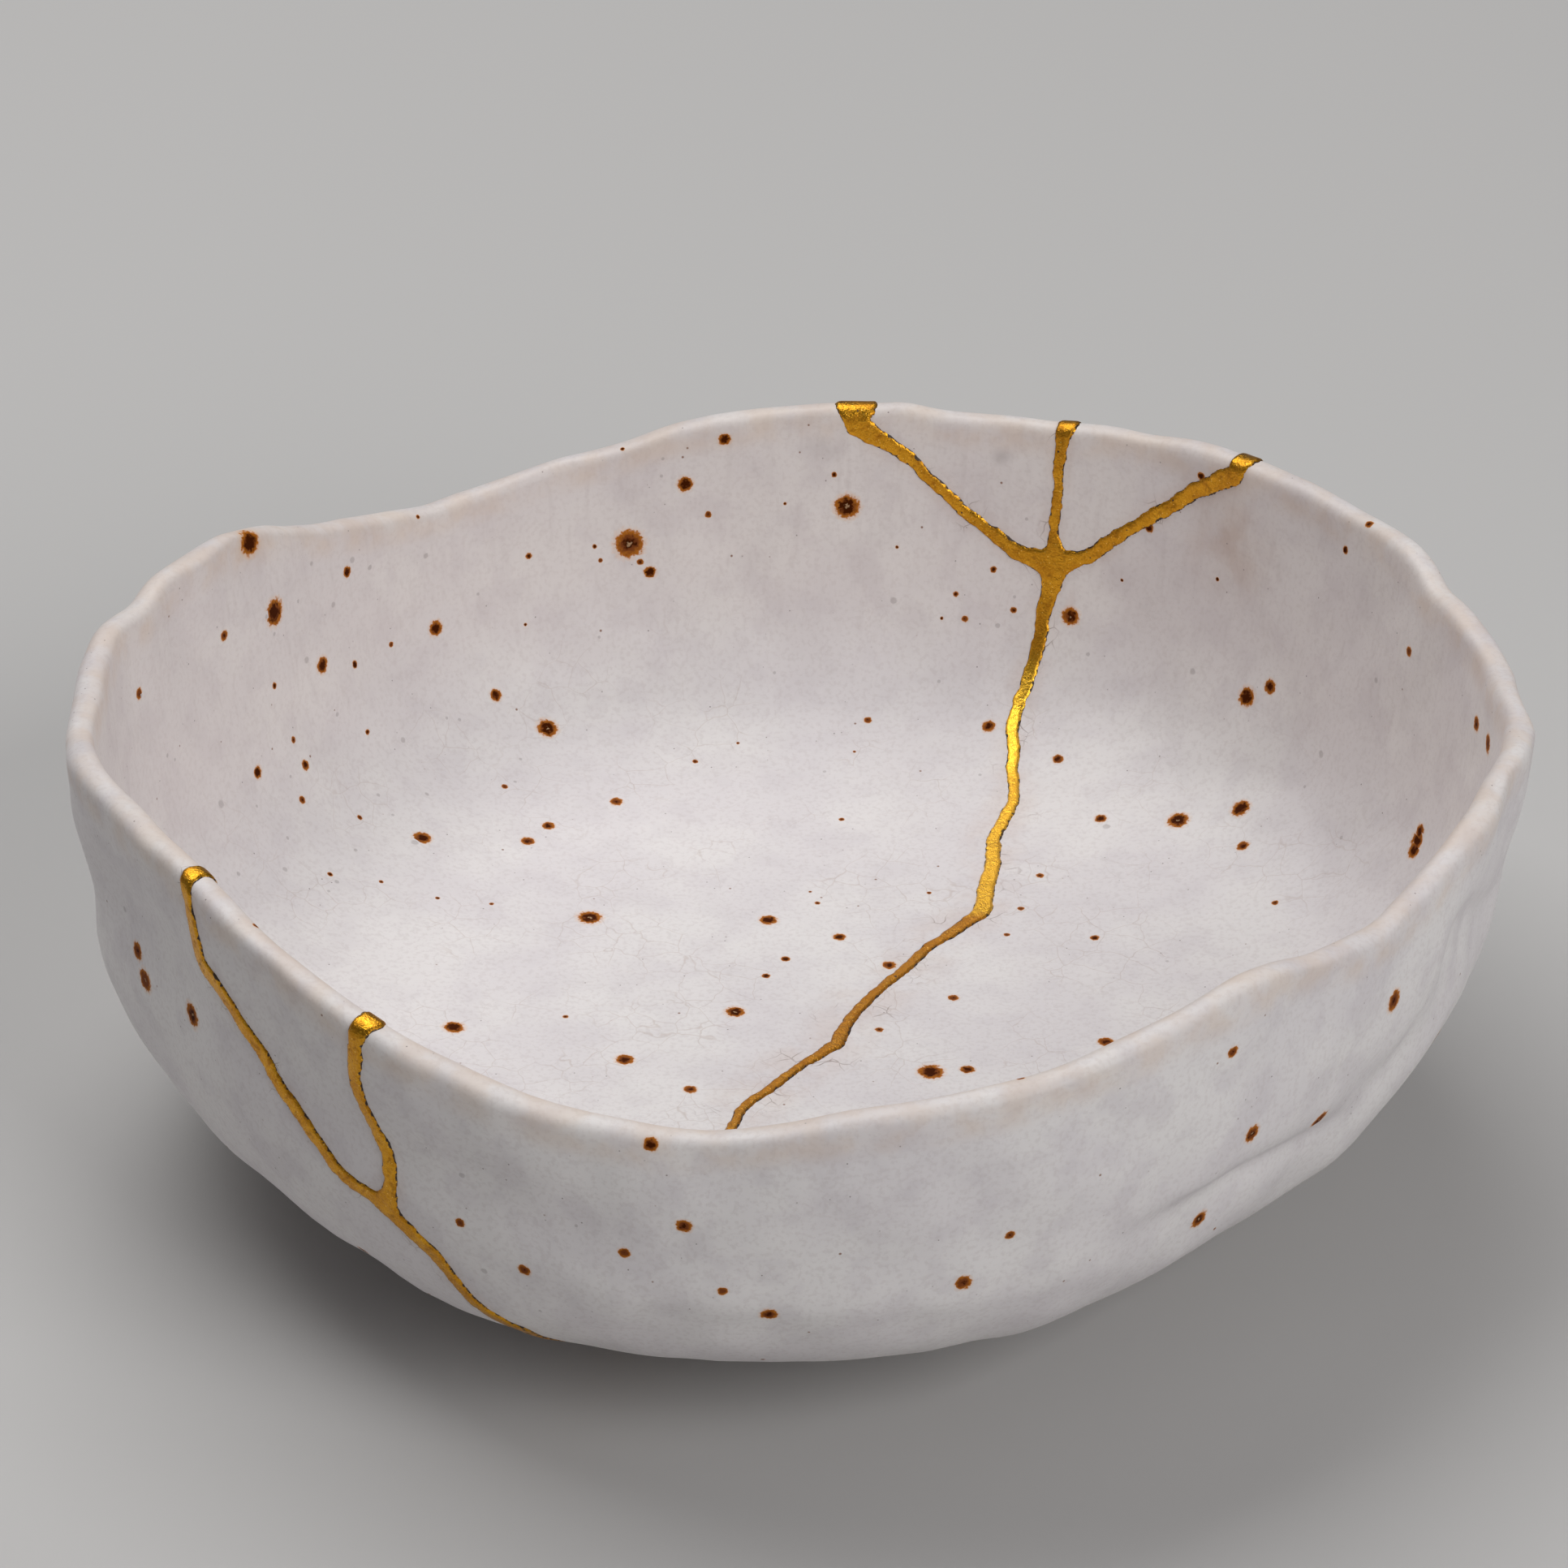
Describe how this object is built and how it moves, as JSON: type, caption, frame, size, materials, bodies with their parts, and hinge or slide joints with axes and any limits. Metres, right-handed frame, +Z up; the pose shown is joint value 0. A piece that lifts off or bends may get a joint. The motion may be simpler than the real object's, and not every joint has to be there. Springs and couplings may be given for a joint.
{
  "type": "mended tea bowl",
  "caption": "Shallow hand-pinched tea bowl on a low foot ring, broken and mended with raised gold lacquer seams; holds tea or small things.",
  "frame": {"origin": "on the ground under the middle of the rim", "axes": "+Z up, out of the bowl's mouth; -Y towards the viewer, where the long gold seam runs away over the front wall"},
  "size_m": [0.1214, 0.1221, 0.0437],
  "materials": {
    "glaze": "satin off-white glaze with brown iron spots and fine crazing",
    "gold": "gold powder burnished on lacquer"
  },
  "bodies": {
    "root": {"sherd_left": "glaze", "sherd_right": "glaze", "sherd_back_rim_left": "glaze", "sherd_back_rim_right": "glaze", "sherd_front_rim": "glaze", "gold_seam": "gold"}
  },
  "joints": []
}
